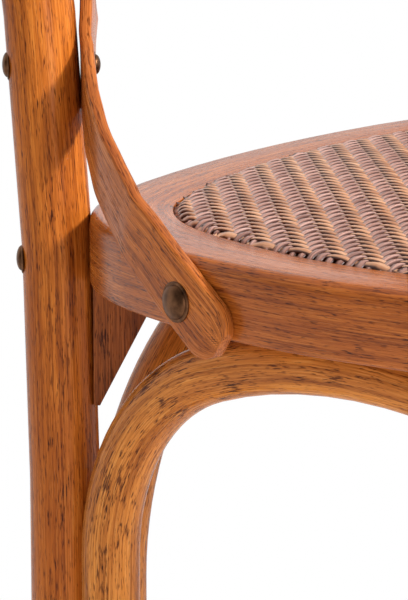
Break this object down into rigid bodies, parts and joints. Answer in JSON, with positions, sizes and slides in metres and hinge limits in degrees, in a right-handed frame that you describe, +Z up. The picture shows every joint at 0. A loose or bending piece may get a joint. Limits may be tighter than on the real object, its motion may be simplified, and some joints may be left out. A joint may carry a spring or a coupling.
{
  "type": "cross back dining chair",
  "caption": "Bentwood dining chair: round rod hoop back with crossed flat straps, crowned woven cane seat in a wooden frame, round legs braced by bent arches",
  "frame": {"origin": "middle of the chair's bounding box, on the floor under the four glides", "axes": "+Z up, the sitter faces -Y, the back hoop stands at +Y, +X is to the right of someone who faces the chair's front"},
  "size_m": [0.5196, 0.5218, 0.886],
  "materials": {
    "bent_wood": "honey brown stain, rubbed dark patches, satin lacquer",
    "frame_wood": "honey brown stain, satin lacquer",
    "strap_wood": "brown stain, fine dark pores, satin lacquer",
    "inner_wood": "plain birch, unstained",
    "woven_cane": "split rattan peel, twill weave, slight gloss",
    "bronzed_metal": "antique bronze, dark, softly rubbed on the domes",
    "glide_nylon": "moulded dark brown nylon"
  },
  "bodies": {
    "root": {"back_hoop": "bent_wood", "front_leg_left": "bent_wood", "front_leg_right": "bent_wood", "seat_frame_back": "frame_wood", "seat_frame_front": "frame_wood", "frame_dowels": "inner_wood", "seat_board": "inner_wood", "woven_seat": "woven_cane", "side_arch_left": "bent_wood", "side_arch_right": "bent_wood", "front_arch": "bent_wood", "rear_arch": "bent_wood", "corner_gusset_left": "frame_wood", "corner_gusset_right": "frame_wood", "cross_strap_left": "strap_wood", "cross_strap_right": "strap_wood", "strap_bolts": "bronzed_metal", "strap_top_bolts": "bronzed_metal", "strap_end_studs": "bronzed_metal", "seat_bolts": "bronzed_metal", "arch_leg_screws": "bronzed_metal", "arch_crown_screws": "bronzed_metal", "board_screws": "bronzed_metal", "foot_glides": "glide_nylon"}
  },
  "joints": []
}
